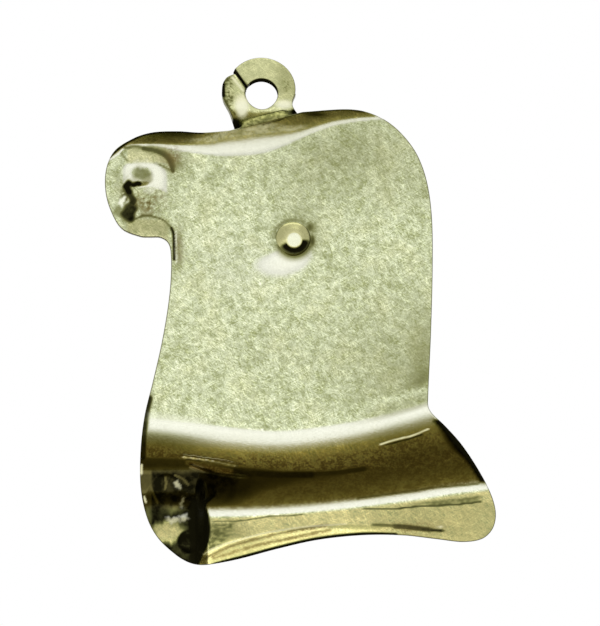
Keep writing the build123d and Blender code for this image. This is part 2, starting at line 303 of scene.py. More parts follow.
def brass(name, clean, warm, grain, rough):
    """Old brass: clean and warm colours, dark and coppery tarnish with painted shade, painted highlights and glints,
    mottling, specks and fine scratches.
    """
    # A yellowed tone, the pale colour of the painted highlights, and grime.
    yellowed, highlight_white, grime = (0.60, 0.58, 0.27, 1), (0.67, 0.67, 0.59, 1), (0.30, 0.33, 0.145, 1)
    copper_speck, copper_brown = (0.150, 0.105, 0.034, 1), (0.240, 0.170, 0.055, 1)
    olive, black = (0.190, 0.195, 0.062, 1), (0.006, 0.0055, 0.002, 1)
    # Pale colours of bare worn metal, which also serve for painted highlights and glints.
    bare_and_glint, bare_and_glint_warm = (0.86, 0.87, 0.71, 1), (0.78, 0.75, 0.47, 1)
    material = bpy.data.materials.new(name)
    material.use_nodes = True
    tree = material.node_tree
    shader = tree.nodes["Principled BSDF"]

    def add(kind, inputs, **settings):
        """A node with its settings and inputs, each a value or a link, and its outputs handed back."""
        made = tree.nodes.new("ShaderNode" + kind)
        for key, value in settings.items():
            setattr(made, key, value)
        for key, value in inputs.items():
            if isinstance(value, bpy.types.NodeSocket):
                tree.links.new(value, made.inputs[key])
            else:
                made.inputs[key].default_value = value
        return made.outputs

    def between(value, low, high, to_low, to_high):
        """A value's stretch from low to high, spread over another stretch."""
        return add("MapRange", {"Value": value, "From Min": low, "From Max": high,
                                "To Min": to_low, "To Max": to_high})[0]

    def times(a, b):
        return add("Math", {0: a, 1: b}, operation="MULTIPLY")[0]

    def plus(a, b):
        return add("Math", {0: a, 1: b}, operation="ADD")[0]

    def mixed(factor, a, b):
        return add("Mix", {0: factor, 6: a, 7: b}, data_type="RGBA")[2]

    def stored(key):
        return add("Attribute", {}, attribute_name=key)["Fac"]

    # Noise in millimetres, from broad mottling to specks, and four sets of short scratches across each other
    place = add("Mapping", {"Vector": add("TexCoord", {})["Object"], "Scale": (1000, 1000, 1000)})[0]
    mottle = add("TexNoise", {"Vector": place, "Scale": 0.55, "Detail": 3.0, "Roughness": 0.6})[0]
    cloud = add("TexNoise", {"Vector": place, "Scale": 2.4, "Detail": 3.0, "Roughness": 0.65})[0]
    speck = add("TexNoise", {"Vector": place, "Scale": 9.0, "Detail": 2.0, "Roughness": 0.6})[0]
    scratch, rub = None, None
    for slant, start, length in ((0.25, 0.0, 0.60), (-0.55, 7.3, 0.45), (1.25, 3.1, 0.45), (0.75, 11.0, 0.60)):
        run = add("Mapping", {"Vector": place, "Location": (start, 0, start), "Rotation": (0, slant, 0),
                              "Scale": (length, 1, 0.055)}, vector_type="TEXTURE")[0]
        grey = add("TexNoise", {"Vector": run, "Scale": 1.0, "Detail": 2.0})[0]
        light, dull = between(grey, 0.56, 0.68, 0.0, 1.0), between(grey, 0.42, 0.30, 0.0, 1.0)
        scratch = light if scratch is None else plus(scratch, light)
        rub = dull if rub is None else plus(rub, dull)
    warmth, polish, tarnish = stored("warm"), stored("polish"), stored("tarnish")
    copper, shine = stored("copper"), stored("bright")

    # Sound metal, first its colour, then a painted highlight where the sheet leans, the grime in its hollows and the
    # painted light on its scratches
    amount = times(between(warmth, 0.0, 1.0, 1.0, 0.60), between(polish, 0.0, 1.0, 1.0, 0.08))
    amount = times(amount, grain)
    colour = mixed(warmth, (*clean, 1), (*warm, 1))
    colour = mixed(times(between(mottle, 0.48, 0.68, 0.0, 0.28), grain), colour, yellowed)
    colour = mixed(times(polish, 0.85), colour, highlight_white)
    patchy = plus(between(speck, 0.52, 0.30, 0.0, 0.42), between(cloud, 0.56, 0.32, 0.0, 0.45))
    patchy = plus(plus(patchy, times(rub, 0.55)), between(mottle, 0.52, 0.36, 0.0, 0.25))
    colour = mixed(times(patchy, amount), colour, grime)
    tone = plus(between(speck, 0.50, 0.72, 0.0, 0.22), between(cloud, 0.48, 0.70, 0.0, 0.14))
    tone = plus(tone, times(scratch, 0.42))
    colour = add("VectorMath", {0: colour, "Scale": plus(times(tone, amount), 1.02)}, operation="SCALE")[0]

    # Copper specks, then tarnish and painted shade over olive to black, and bare metal where it is worn through along
    # with painted highlights and glints
    colour = mixed(times(copper, between(plus(speck, cloud), 0.86, 1.12, 0.0, 1.9)), colour, copper_speck)
    dark = times(tarnish, between(cloud, 0.36, 0.64, 0.98, 1.05))
    colour = mixed(between(dark, 0.0, 0.65, 0.0, 1.0), colour, mixed(copper, olive, copper_brown))
    colour = mixed(between(dark, 0.50, 0.92, 0.0, 1.0), colour, black)
    colour = mixed(shine, colour, mixed(warmth, bare_and_glint, bare_and_glint_warm))
    metal = times(between(tarnish, 0.90, 0.97, 1.0, 0.0), between(shine, 0.1, 0.8, 1.0, 0.1))
    bump = add("Bump", {"Strength": between(warmth, 0.0, 1.0, 1.0, 0.35), "Distance": 1.8e-6 * grain,
                        "Height": plus(speck, times(scratch, 0.35))})[0]
    shader.inputs["Specular IOR Level"].default_value = 0.0
    tree.links.new(colour, shader.inputs["Base Color"])
    tree.links.new(metal, shader.inputs["Metallic"])
    tree.links.new(between(speck, 0.3, 0.7, rough + 0.05, rough - 0.03), shader.inputs["Roughness"])
    tree.links.new(bump, shader.inputs["Normal"])
    return material


def in_front(x, y, z):
    """1 on the front of the scroll, 0 on its back."""
    front, back = front_of_scroll(x, z)[:, 1], back_of_scroll(x, z)[:, 1]
    return below((y - front) / (back - front), 0.7, 0.4)


def up_flange(x, z):
    """How far up the flange's bend a place is, in half widths of the bend."""
    return (z - along(flange_start, x)) / along(flange_bend, x)


def down_roll(x, z):
    """How far a place is below the crease at the top of the roll."""
    return along(roll_crease, x) - z


def over_floor(x, z):
    """How far a place is above the deepest line of the roll."""
    return z - along(roll_floor, x)


def scroll_warm(x, y, z):
    """The yellower metal of the roll, the flange and the two lips of the curl."""
    pale_strip = below(over_floor(x, z), 0.62, 0.15) * above(over_floor(x, z), -0.05, 0.15)
    roll = above(down_roll(x, z), 0.95, 0.5) * (1 - pale_strip)
    flange = 0.50 * above(up_flange(x, z), 0.75, 0.35)
    curl = 0.5 * below(x, -4.6, 0.3) * above(x, -7.0, 0.2)
    return most(roll, flange, curl * most(above(z, -3.60, 0.15), below(z, -6.35, 0.1) * above(z, -8.0, 0.4)))


def scroll_polish(x, y, z):
    """Painted highlight where the front of the sheet leans a little downwards, and a pale patch left of and below the
    pip.
    """
    lean = (scroll_y(x, z - 0.03) - scroll_y(x, z + 0.03)) / 0.06
    highlit = most(above(lean, 0.04, 0.06) * below(lean, 0.50, 0.12), 0.22 * spot(x, z, -1.2, -8.8, 1.7, 1.4))
    return highlit * in_front(x, y, z)


def field_tarnish(x, z):
    """Broad faint darkening over the field, more to the right and below, and painted shade round the foot of the pip,
    most below it and to its right.
    """
    shade = 0.07 * above(z, -6.5, 2.5) + 0.07 * above(x, -1.0, 8.0)
    shade = shade + 0.20 * above(x, 2.0, 5.0) * below(z, -9.0, 5.0) + 0.18 * above(x, 7.0, 1.4) * below(z, -9.0, 4.0)
    shade = shade + 0.03 * above(x, 2.0, 4.0) * above(z, -7.0, 3.0)
    for strength, at_x, at_z, reach_x, reach_z in (
            (0.20, 4.3, -2.9, 2.6, 1.3), (0.09, 0.6, -13.2, 3.2, 1.2), (-0.10, 6.8, -7.2, 1.8, 1.2),
            (0.14, 8.0, -15.2, 1.0, 1.2), (0.24, 2.0, -6.4, 1.3, 1.0), (0.10, 2.0, -4.2, 1.6, 1.3)):
        shade = shade + strength * spot(x, z, at_x, at_z, reach_x, reach_z)
    round_pip = [(0.66, -7.30), (0.78, -6.86), (1.20, -6.52), (1.62, -6.43), (2.10, -6.52), (2.48, -6.84),
                 (2.64, -7.40)]
    # Painted shade round the pip: a dark ring, and dark spots below it and to its right.
    return most(
        shade * below(down_roll(x, z), -0.2, 0.8),
        0.80 * spot(x, z, 2.58, -7.48, 0.28, 0.50),
        0.70 * spot(x, z, 2.50, -6.80, 0.36, 0.40),
        0.52 * stroke(round_pip, x, z, 0.12),
        0.66 * below(np.hypot(x - 1.68, z + 7.42), 1.30, 0.45) * below(z, -7.40, 0.40))


def flange_tarnish(x, z):
    """The left part of the flange, darkened as painted shade most towards its bent top edge, and a dark spot at the
    right of the loop.
    """
    left = (0.22 + 0.40 * above(z, -2.40, 0.35)) * above(z, -2.53, 0.06) * below(x, -2.6, 1.2)
    return most(left, 0.75 * spot(x, z, 2.75, -1.02, 0.9, 0.16))


def trough_tarnish(x, z):
    """The hollow of the roll: painted shade, black where it is deepest in shade, and brown tarnish above that and
    towards both ends.
    """
    black_top = [(-9.0, -18.3), (-6.0, -18.5), (-4.0, -18.6), (-2.5, -18.9), (-0.5, -19.05), (1.0, -19.2),
                 (2.0, -19.3), (3.0, -19.25), (4.0, -19.2), (5.0, -19.05), (5.7, -19.0), (13.0, -18.6)]
    black_end = [(-9.0, -22.0), (-2.0, -21.1), (-1.2, -20.9), (-0.5, -20.6), (0.0, -20.3), (1.0, -20.05),
                 (2.0, -19.8), (3.0, -19.62), (4.0, -19.5), (5.0, -19.3), (5.7, -19.05), (13.0, -18.6)]
    down, under_top = down_roll(x, z), along(black_top, x) - z
    off_floor = above(over_floor(x, z), 0.46, 0.2)
    black = (0.72 + 0.16 * spot(x, z, -1.9, -19.9, 1.4, 1.0)) * above(under_top, -0.15, 0.35)
    black = black * above(z - along(black_end, x), -1.1, 1.5) * below(x, 6.0, 2.0)
    brown = 0.45 * above(under_top, 0.0, 0.25)
    brown_right = 0.34 * above(x, 5.0, 2.5) * above(down, 1.7, 0.9)
    ends = most(0.32 * above(x, 3.0, 4.0), 0.52 * below(x, -1.0, 4.0))
    return most(
        most(black, brown, brown_right) * off_floor,
        ends * above(down, 0.62, 0.45) * below(down, 2.6, 1.2),
        0.30 * above(x, 4.0, 3.0) * above(down, -0.6, 0.4) * below(down, 0.55, 0.25))


def rolled_end_tarnish(x, z):
    """The rolled end at the lower left: nearly black with tarnish and painted shade, most so on its wall and in its
    round dent, with painted highlights at lit places.
    """
    end_wall = [(-24.4, -3.3), (-23.7, -2.98), (-22.9, -2.62), (-22.3, -2.55), (-21.6, -2.60), (-21.0, -2.75),
                (-20.5, -2.3), (-18.0, -2.0)]
    lit_lines = [
        (0.25, 0.05, [(-5.70, -20.00), (-5.50, -20.50), (-5.30, -20.90)]),
        (0.35, 0.05, [(-4.90, -19.60), (-4.86, -19.90), (-4.92, -20.20)]),
        (0.30, 0.05, [(-4.40, -19.50), (-4.00, -19.70), (-3.70, -20.00)])]
    blur = 0.12 + 0.9 * above(z, -21.0, 0.7)
    end = below(x - along(end_wall, z), blur - 0.07, blur) * below(z, -18.3, 1.2)
    jag_x, jag_z = ragged(x, z)
    # Painted highlights: lit places where the black is taken away.
    lit = most(
        strokes(lit_lines, x, z),
        0.16 * below(x, -5.55, 0.12),
        patch(jag_x, jag_z, -4.75, -22.42, 0.80, 0.50) * (0.74 + 0.16 * below(z, -22.1, 0.5)),
        0.30 * spot(jag_x, jag_z, -4.50, -21.25, 0.35, 0.22))
    dent = below(np.hypot(x - dent_x, z - dent_z), 0.70, 0.12)
    wall = above(x, -3.75, 0.25)
    black = 0.89 + 0.07 * most(wall * below(z, -20.4, 0.6), 0.3 * dent)
    return black * end * (1 - lit * (1 - dent) * (1 - wall))


def lip_tarnish(x, z):
    """The lip under the roll: stains at its left, a brown wedge at its right, and painted shade in its turned edge and
    along the flared end.
    """
    lip_line = [(0.0, -21.60), (5.4, -21.20), (8.0, -21.10), (10.0, -21.00), (11.5, -20.82), (13.0, -20.6)]
    flare_edge = [(-26, 12.1), (-21.40, 12.23), (-20.40, 11.97), (-19.24, 11.34), (-17.97, 10.41), (-17.02, 9.51),
                  (-16.36, 8.80), (-14, 7.5)]
    uneven = mottled(x, z)
    over_line, over_crease = z - along(lip_line, x), z - along(lip_crease, x)
    wedge = (0.44 + 0.18 * uneven) * above(x, 5.8, 3.5) * below(x, 11.6, 0.3) * above(over_line, -0.05, 0.08)
    wedge_top = 0.14 + 0.26 * above(x, 6.0, 4.0)
    left = (0.44 + 0.24 * uneven) * below(x, -0.5, 1.5) * above(x, -2.75, 0.1) * below(z, -21.85, 0.2)
    # Painted shade along the edge of the flared end, widest near its middle.
    edge = 0.10 + 0.75 * np.exp(-((z + 17.9) / 0.75) ** 2)
    flare = 0.97 * above(x - along(flare_edge, z), -0.5 - edge, 0.35 + 0.9 * edge)
    return most(
        wedge * below(over_line, wedge_top, 0.14),
        (0.32 + 0.20 * uneven) * spot(x, z, -1.70, -22.45, 1.30, 0.50) * below(z, -21.95, 0.15),
        0.20 * above(x, 4.5, 3.0) * below(over_line, -0.02, 0.12),
        left * above(over_crease, 0.0, 0.15),
        0.30 * below(over_crease, 0.0, 0.15) * below(x, 1.6, 2.4) * above(x, -2.6, 0.2),
        0.70 * spot(*ragged(x, z), -1.48, -22.05, 0.24, 0.28),
        flare * below(z, -16.5, 0.25) * above(z, -20.1, 0.4))


def curl_tarnish(x, z):
    """The curl: painted shade in its black hook with a rough edge and in the groove under its fold, and mottled
    darkening round it, part brown stain and part painted shade.
    """
    hook = [
        (0.95, 0.23, [(-6.80, -4.56), (-6.84, -4.75), (-6.80, -4.95)]),
        (0.86, 0.22, [(-6.78, -5.00), (-6.68, -5.30), (-6.64, -5.60)]),
        (0.98, 0.12, [(-6.72, -4.50), (-6.45, -4.58), (-6.20, -4.66)]),
        (0.88, 0.40, [(-6.68, -5.86), (-6.82, -6.18)]),
        (0.52, 0.26, [(-7.30, -6.00), (-7.08, -6.30)]),
        (0.54, 0.40, [(-6.28, -4.06), (-6.00, -4.20)])]
    uneven = mottled(x, z)
    groove = apart([(-5.70, -2.80), (-5.05, -2.96), (-4.66, -3.28), (-4.50, -3.66)], x, z)
    stain_and_shade = most(0.55 * spot(x, z, -4.35, -3.45, 0.80, 0.50), 0.70 * spot(x, z, -6.95, -5.10, 0.45, 0.90))
    return most(
        strokes(hook, *ragged(x, z, 0.45)),
        0.66 * np.exp(-(groove / 0.27) ** 2),
        stain_and_shade * (0.45 + 0.55 * uneven),
        (0.24 + 0.46 * uneven) * spot(x, z, -5.80, -5.50, 0.80, 0.66),
        0.30 * spot(x, z, -4.25, -7.9, 0.20, 1.1))


def dark_lines(x, z):
    """Dark lines along grooves, scratches, creases and edges, painted shade in the creases and along the edges, from
    the curl over the flange and the roll to the lip.
    """
    curl = [
        (0.30, 0.40, [(-6.70, -6.85), (-5.90, -6.75), (-5.00, -6.95)]),
        (0.25, 0.25, [(-7.40, -4.10), (-7.30, -4.90)]),
        (0.62, 0.10, [(-7.00, -2.74), (-6.50, -2.65), (-6.00, -2.74)]),
        (0.72, 0.14, [(-6.05, -2.76), (-5.50, -2.86), (-5.05, -3.06), (-4.75, -3.35), (-4.60, -3.70), (-4.55, -3.90)]),
        (0.60, 0.06, [(-5.50, -3.52), (-5.00, -3.70), (-4.75, -3.85), (-4.55, -3.93)]),
        (0.50, 0.07, [(-7.18, -3.02), (-6.90, -3.42)]),
        (0.62, 0.07, [(-6.60, -6.42), (-6.10, -6.26), (-5.50, -6.28), (-5.00, -6.46), (-4.65, -6.80)]),
        (0.64, 0.10, [(-6.10, -6.20), (-5.65, -6.20)]),
        (0.86, 0.09, [(-4.62, -6.85), (-4.52, -7.10), (-4.49, -7.50), (-4.47, -8.45)])]
    flange = [
        (0.90, 0.06, [(-7.78, -3.22), (-7.42, -2.86), (-7.00, -2.54), (-6.60, -2.32), (-6.00, -2.10), (-5.50, -2.01),
                      (-4.30, -1.96), (-3.00, -2.00)]),
        (0.45, 0.10, [(-1.66, -1.86), (2.08, -0.92)]),
        (0.75, 0.05, [(0.00, -1.56), (0.55, -1.42), (1.10, -1.27)]),
        (0.80, 0.06, [(2.08, -0.94), (3.00, -0.86), (4.20, -0.76), (5.30, -0.85)])]
    roll = [
        (0.85, 0.24, [(-5.78, -15.60), (-5.96, -16.40), (-6.06, -17.40), (-6.10, -18.60)]),
        (0.80, 0.05, [(-3.80, -18.68), (-2.20, -18.86), (-1.20, -19.02)]),
        (0.80, 0.05, [(6.50, -17.94), (7.00, -17.80), (7.70, -17.62), (8.30, -17.40)]),
        (0.50, 0.50, [(10.10, -19.10), (10.90, -19.20)]),
        (0.82, 0.22, [(-1.60, -19.36), (1.00, -19.48), (2.60, -19.48)]),
        (0.72, 0.15, [(2.40, -19.46), (4.00, -19.36), (5.40, -19.16)])]
    lip = [
        (0.60, 0.08, [(5.00, -20.66), (6.50, -20.46), (8.00, -20.27), (9.00, -20.10), (10.50, -19.98),
                      (11.30, -19.90)]),
        (0.65, 0.04, [(-2.40, -21.86), (-1.00, -21.82), (0.00, -21.68), (0.50, -21.60), (1.50, -21.57),
                      (2.20, -21.50)]),
        (0.80, 0.05, [(5.40, -21.20), (7.00, -21.20), (8.00, -21.10), (9.00, -21.05), (10.00, -21.00), (11.00, -20.90),
                      (11.50, -20.82)]),
        (0.60, 0.05, [(-2.80, -23.76), (-2.30, -23.48), (-1.50, -23.14), (-0.50, -22.86), (0.60, -22.58),
                      (2.00, -22.28), (3.40, -22.06)]),
        (0.55, 0.05, [(-2.42, -23.76), (-0.40, -23.16), (1.22, -22.80), (2.60, -22.48), (3.60, -22.30)]),
        (0.42, 0.12, [(3.60, -22.10), (5.00, -22.16), (6.20, -22.18)]),
        (0.80, 0.15, [(7.00, -22.12), (7.40, -22.14), (8.00, -22.20), (8.80, -22.29)]),
        (0.66, 0.10, [(5.90, -22.04), (6.40, -22.06), (7.00, -22.11)]),
        (0.86, 0.09, [(8.30, -22.26), (9.45, -22.34)]),
        (0.97, 0.13, [(-2.30, -24.08), (-1.10, -23.77), (0.95, -23.23), (3.00, -22.78), (5.30, -22.54),
                      (7.00, -22.56)])]
    return strokes(curl + flange + roll + lip, x, z)


def scroll_tarnish(x, y, z):
    """Where the scroll is darkened by tarnish and painted shade, and lightened along a painted glint. The back has its
    own plain tarnish.
    """
    layers = (field_tarnish, flange_tarnish, trough_tarnish, rolled_end_tarnish, lip_tarnish, curl_tarnish, dark_lines)
    glint_line = [(-3.75, -18.86), (-3.30, -18.98), (-2.60, -19.12), (-1.60, -19.28)]
    dark = most(*[layer(x, z) for layer in layers]) * (1 - 0.5 * stroke(glint_line, x, z, 0.12))
    behind = 0.16 + 0.30 * spot(x, z, 0.2, -2.2, 2.6, 0.9) + 0.25 * above(down_roll(x, z), -0.4, 1.5)
    front = in_front(x, y, z)
    return dark * front + behind * (1 - front)


def scroll_copper(x, y, z):
    """Brown and coppery tints in the trough, beside the curl and along the lip."""
    tint = 0.60 * mottled(x, z) * spot(x, z, -5.80, -5.50, 0.85, 0.66)
    tint = tint + 0.45 * above(down_roll(x, z), 1.35, 0.7) * above(over_floor(x, z), 0.3, 0.4)
    for strength, at_x, at_z, reach_x, reach_z in (
            (0.60, -4.60, -3.25, 0.45, 0.60), (0.50, 7.8, -22.2, 1.6, 0.3), (0.40, -4.25, -7.9, 0.25, 1.1),
            (0.30, -5.0, -18.15, 1.0, 0.35), (0.30, 0.2, -18.60, 1.5, 0.25)):
        tint = tint + strength * spot(x, z, at_x, at_z, reach_x, reach_z)
    for strength, reach, line in (
            (0.55, 0.16, [(-3.50, -18.98), (-3.00, -19.12), (-2.50, -19.20), (-1.50, -19.40)]),
            (0.50, 0.10, [(-2.80, -23.76), (-1.50, -23.14), (0.60, -22.58), (3.40, -22.06)]),
            (0.50, 0.10, [(-2.42, -23.76), (-0.40, -23.16), (1.22, -22.80), (3.60, -22.30)])):
        tint = tint + strength * stroke(line, x, z, reach)
    return tint * in_front(x, y, z)


def scroll_bright(x, y, z):
    """Worn and scratched places that shine, and painted highlights and glints: on the rolled end, along its left rim,
    on the curl's arch and lobe, at the left of the roll's crease, up the flange's bend and at the lip's right end.
    """
    scratches_and_glints = [
        (0.42, 0.03, [(-3.95, -18.46), (-3.50, -18.49), (-3.00, -18.58), (-2.00, -18.71), (-1.50, -18.82)]),
        (0.16, 0.06, [(-3.50, -18.96), (-3.20, -19.02), (-2.90, -19.10)]),
        (0.80, 0.05, [(6.15, -17.92), (7.00, -17.66), (7.70, -17.49), (8.30, -17.26), (8.62, -17.12)]),
        (0.90, 0.06, [(-6.12, -18.98), (-6.14, -19.42)]),
        (0.90, 0.06, [(-5.98, -20.62), (-5.90, -20.88)]),
        (0.45, 0.05, [(-2.90, -23.56), (-2.50, -23.30), (-1.50, -22.94), (0.00, -22.52), (1.00, -22.33), (2.50, -22.12),
                      (4.50, -21.99)])]
    crescent = [(-6.95, -3.95), (-6.60, -3.66), (-6.00, -3.56), (-5.50, -3.75), (-5.25, -4.20), (-5.45, -4.70),
                (-5.80, -4.86)]
    jag_x, jag_z = ragged(x, z)
    # Painted highlights in the rolled end and on the curl's left lobe.
    patchy = [strength * patch(jag_x, jag_z, at_x, at_z, reach_x, reach_z)
            for strength, at_x, at_z, reach_x, reach_z in (
                (0.55, -4.28, -20.02, 0.14, 0.18), (0.35, -4.04, -20.85, 0.09, 0.28), (0.62, -4.52, -21.80, 0.32, 0.15),
                (0.55, -3.95, -21.68, 0.20, 0.17), (0.95, -7.15, -5.46, 0.14, 0.22))]
    down, up = down_roll(x, z), up_flange(x, z)
    # Painted highlight along the left of the roll's crease, and another up the flange's bend.
    crease = 0.35 * below(x, -2.0, 1.5) * above(x, -5.9, 0.3) * above(down, -0.15, 0.2) * below(down, 0.5, 0.2)
    flange = (0.22 + 0.22 * mottled(x, z)) * above(up, 0.9, 0.3) * below(up, 1.8, 0.5)
    shine = most(
        *patchy, strokes(scratches_and_glints, x, z), crease,
        0.75 * mottled(1.7 * x, 1.7 * z) * stroke([(-4.38, -7.02), (-4.36, -8.60)], x, z, 0.05),
        0.40 * stroke(crescent, jag_x, jag_z, 0.20),
        flange * above(x, -5.0, 2.5) * below(x, 2.8, 1.0),
        0.9 * spot(x, z, 9.33, -22.14, 0.12, 0.06))
    return shine * in_front(x, y, z)


outline = line_through(outline_points, 0.10)
columns = np.concatenate([np.arange(-8.0, -4.2, 0.055), np.arange(-4.2, -2.2, 0.08), np.arange(-2.16, 12.1, 0.16)])
rows = np.concatenate([
    np.arange(-24.05, -21.3, 0.055), np.arange(-21.28, -19.8, 0.07), np.arange(-19.76, -16.9, 0.055),
    np.arange(-16.85, -15.0, 0.10), np.arange(-14.9, -9.0, 0.16), np.arange(-8.98, -0.7, 0.07)])
scroll = formed_sheet("scroll_body.sheet", outline, columns, rows, sheet_thickness,
                      front_of_scroll, back_of_scroll, sheet_rim)
mark(scroll, warm=scroll_warm, polish=scroll_polish, tarnish=scroll_tarnish, copper=scroll_copper, bright=scroll_bright)
scroll.data.materials.append(brass("scroll_brass", (0.625, 0.670, 0.455), (0.592, 0.522, 0.225), 1.0, 0.20))
# A darker copy of the brass for every cut wall and rounded rim: painted shade along the edges.
shaded_edge_brass = brass("shaded_edge_brass", (0.20, 0.20, 0.12), (0.16, 0.15, 0.08), 0.3, 0.35)
scroll.data.materials.append(shaded_edge_brass)
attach(scroll, "charm")
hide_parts("scroll_body")

# Rivet: a low conical pip of turned brass on the boss in the middle of the field.
# Its small flat end is set below the middle and off square.
# Its shank goes through the sheet and is spread into a low head behind.
rivet_profile = [
    (0.0, -0.37), (0.30, -0.37), (0.36, -0.367), (0.40, -0.356), (0.44, -0.345), (0.60, -0.292), (0.76, -0.238),
    (0.86, -0.202), (0.90, -0.17), (0.90, -0.05), (0.35, -0.02), (0.35, 0.48), (0.86, 0.48), (0.90, 0.52), (0.84, 0.62),
    (0.62, 0.72), (0.34, 0.77), (0.0, 0.78)]
pip_lift, pip_flattening = 0.06, 0.94
end_aside, end_drop, end_lean, end_radius = 0.05, 0.08, 0.17, 0.38
end_x, end_z = rivet_x + end_aside, rivet_z + pip_lift - end_drop
bm = bmesh.new()
chain = [bm.verts.new((radius, y, 0)) for radius, y in rivet_profile]
links = [bm.edges.new(pair) for pair in zip(chain, chain[1:])]
bmesh.ops.spin(bm, geom=chain + links, cent=(0, 0, 0), axis=(0, 1, 0), angle=math.tau, steps=64, use_merge=True)
bmesh.ops.remove_doubles(bm, verts=bm.verts[:], dist=1e-4)
for vert in bm.verts:
    near_end = float(below(vert.co.y, -0.25, 0.09))
    vert.co.z *= pip_flattening if vert.co.z > 0 else 1.0
    vert.co += Vector((rivet_x + end_aside * near_end, field_y - end_lean * vert.co.z * near_end,
                       rivet_z + pip_lift - end_drop * near_end))
bmesh.ops.recalc_face_normals(bm, faces=bm.faces[:])
rivet = finished("center_rivet.pip", bm)


def rivet_tarnish(x, y, z):
    """Painted shade on the lower side of the cone, dark in its own shade, and a faint painted shade over its top."""
    out = np.hypot(x - end_x, z - end_z)
    downward = (0.98 * (end_z - z) + 0.20 * (x - end_x)) / np.maximum(out, 0.01)
    faded = 0.32 + 0.18 * above(rivet_x - x, -0.75 * out, 0.4 * out + 0.01)
    under = (0.98 - faded * above(out, 0.56, 0.36)) * above(downward, -0.08, 0.45)
    return most(under * above(out, end_radius, 0.05), 0.30 * above(out, end_radius, 0.1))


def rivet_bright(x, y, z):
    """The flat end of the pip, painted as a bright highlight."""
    return 0.7 * below(np.hypot(x - end_x, z - end_z), end_radius, 0.05) * (y < 0)


mark(rivet, warm=lambda x, y, z: 0.8 - rivet_bright(x, y, z), tarnish=rivet_tarnish, bright=rivet_bright)
rivet.data.materials.append(brass("rivet_brass", (0.605, 0.650, 0.420), (0.580, 0.540, 0.265), 0.35, 0.20))
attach(rivet, "charm")
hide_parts("center_rivet")

# Hanging loop: a strip of the same brass sheet, cut as a split ring on a neck and leaning back from the flange.
# Its foot lies soldered behind the flange, and the prong left of the slit is bent a little out of flat.
# Along the ring, up is the height measured in the ring's own leaning plane.
loop_thickness = 0.45
loop_rim = 0.04
lean = math.radians(18.0)
loop_depth = loop_thickness / math.cos(lean)
hole_radius, hole_wall_radius = 0.83, 0.862
foot_film = 0.07
seam_left, seam_right = (-1.66, -1.86), (2.08, -0.92)
slit_outer, slit_inner, slit_gap = np.array((-1.47, 1.40)), np.array((-0.72, 0.31)), 0.15


def seam_z(x):
    """Height of the flange's cut edge across the neck of the loop."""
    return seam_left[1] + (seam_right[1] - seam_left[1]) * (x - seam_left[0]) / (seam_right[0] - seam_left[0])


def loop_y(x, z):
    """Y of the loop's front: along the flange's back and on past its edge, then bent back into the leaning ring."""
    foot = field_y - main_relief(x, z) + sheet_thickness + foot_film
    ring = z * math.tan(lean) - loop_depth / 2
    return ring + bend(foot - ring, 0.55)


def on_loop(x, up, behind):
    """Points of the loop for X and height along the ring, found along the ring's own normal."""
    out = np.zeros_like(x)
    for _ in range(25):
        z = up * math.cos(lean) + out * math.sin(lean)
        out = (up * math.sin(lean) - loop_y(x, z) - behind) / math.cos(lean)
    y, z = up * math.sin(lean) - out * math.cos(lean), up * math.cos(lean) + out * math.sin(lean)
    return np.stack([x, y, z], axis=1)


def prong_set(x, up):
    """How far the prong is bent towards the viewer, with its outer edge turned back."""
    forward = 0.37 * below(x, -0.20, 1.0) * np.clip((up + 1.30) / 1.05, 0, 1)
    return forward - 0.26 * below(x, -1.40, 0.80) ** 1.5 * above(up, -1.55, 0.7)


def front_of_loop(x, up):
    """Points on the front of the foot, the neck and the prong."""
    return on_loop(x, up, 0.0) - np.stack([0 * x, prong_set(x, up), 0 * x], axis=1)


def back_of_loop(x, up):
    """Points on the back of the foot, the neck and the prong."""
    return on_loop(x, up, loop_depth) - np.stack([0 * x, prong_set(x, up), 0 * x], axis=1)


def turn(radius, start, end, step):
    """Places on a circle round the hole from one angle to another, in radians."""
    angles = np.linspace(start, end, max(int(abs(end - start) * radius / step), 2))
    return np.stack([radius * np.cos(angles), radius * np.sin(angles)], axis=1)


slit_along = (slit_inner - slit_outer) / np.linalg.norm(slit_inner - slit_outer)
slit_across = np.array((-slit_along[1], slit_along[0]))
prong_line = slit_outer - slit_across * slit_gap / 2
jaw_line = slit_outer + slit_across * slit_gap / 2


def meets_hole(start):
    """The angle at which a line along the slit runs into the hole."""
    half = start @ slit_along
    run = -half - math.sqrt(half * half - start @ start + hole_radius ** 2)
    point = start + slit_along * run
    return math.atan2(point[1], point[0])


prong_hole, jaw_hole = meets_hole(prong_line), meets_hole(jaw_line)
prong_edge = line_through(
    [(-1.36, 1.06), (-1.60, 0.98), (-1.84, 0.82), (-2.02, 0.40), (-1.98, -0.32), (-1.64, -0.98), (-1.36, -1.55),
     (-1.42, -1.82), (-1.62, -2.02)], 0.07)
neck_edge = line_through([(1.75, 0.0), (1.60, -0.40), (1.62, -0.70), (1.95, -1.05)], 0.07)
foot_edge = [(1.95, -1.90), (1.95, -2.75), (-1.62, -2.75)]
loop_edge = np.concatenate([neck_edge, foot_edge, prong_edge[::-1], turn(hole_radius, prong_hole, math.tau, 0.05)])
loop_columns, loop_rows = np.arange(-2.0, 1.8, 0.08), np.arange(-2.7, 2.1, 0.08)


def at_root(point):
    """Whether a point is on the cut between the ring's two halves, at its right."""
    return point.x > 0.80 and abs(point.z) < 0.03


loop = formed_sheet("hanging_loop.ring", loop_edge, loop_columns, loop_rows, loop_thickness,
                    front_of_loop, back_of_loop, loop_rim, at_root)


def loop_warm(x, y, z):
    """Yellower in the ring than on the neck."""
    return 0.70 - 0.35 * below(z, -0.1, 0.5)


